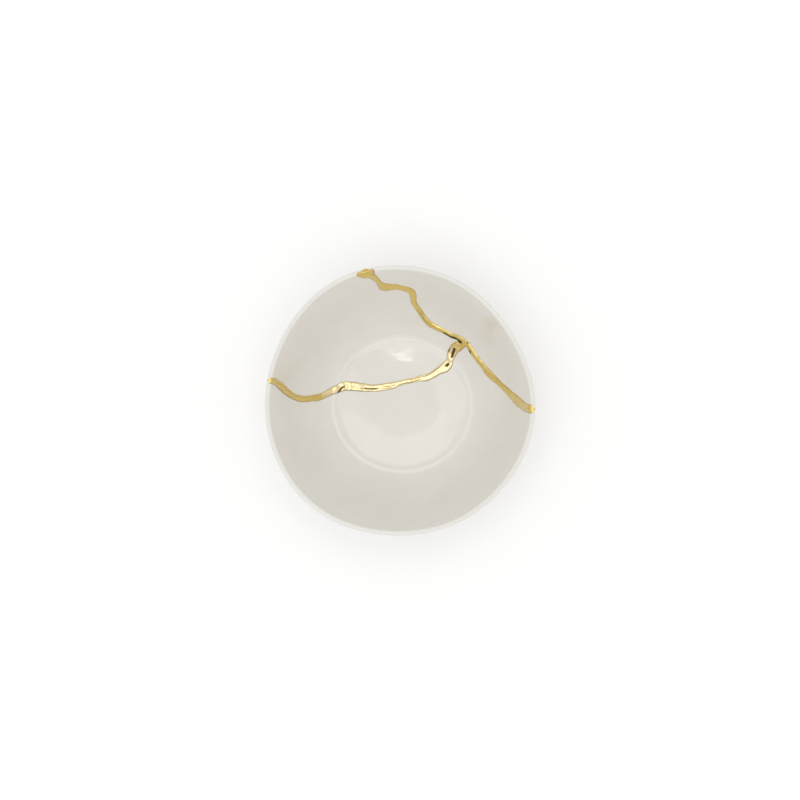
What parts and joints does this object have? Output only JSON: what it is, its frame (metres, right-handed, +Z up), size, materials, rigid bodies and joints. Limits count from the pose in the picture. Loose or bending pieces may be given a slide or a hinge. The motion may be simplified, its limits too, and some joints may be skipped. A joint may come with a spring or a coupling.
{
  "type": "kintsugi bowl",
  "caption": "Small round footed porcelain bowl, hollow and open on top, broken into sherds and mended with raised gold seams that meet in a Y.",
  "frame": {"origin": "on the table under the middle of the bowl, at the level of the flat underside of the foot ring", "axes": "+Z up through the bowl's mouth, +Y to the back, where the seam with the filled chip starts at the lip, +X to the right"},
  "size_m": [0.1406, 0.1401, 0.0608],
  "materials": {
    "porcelain": "glossy warm white glaze on porcelain",
    "gold": "polished gold, raised and slightly uneven"
  },
  "bodies": {
    "root": {"front_sherd": "porcelain", "back_left_sherd": "porcelain", "back_right_sherd": "porcelain", "gold_seam": "gold"}
  },
  "joints": []
}
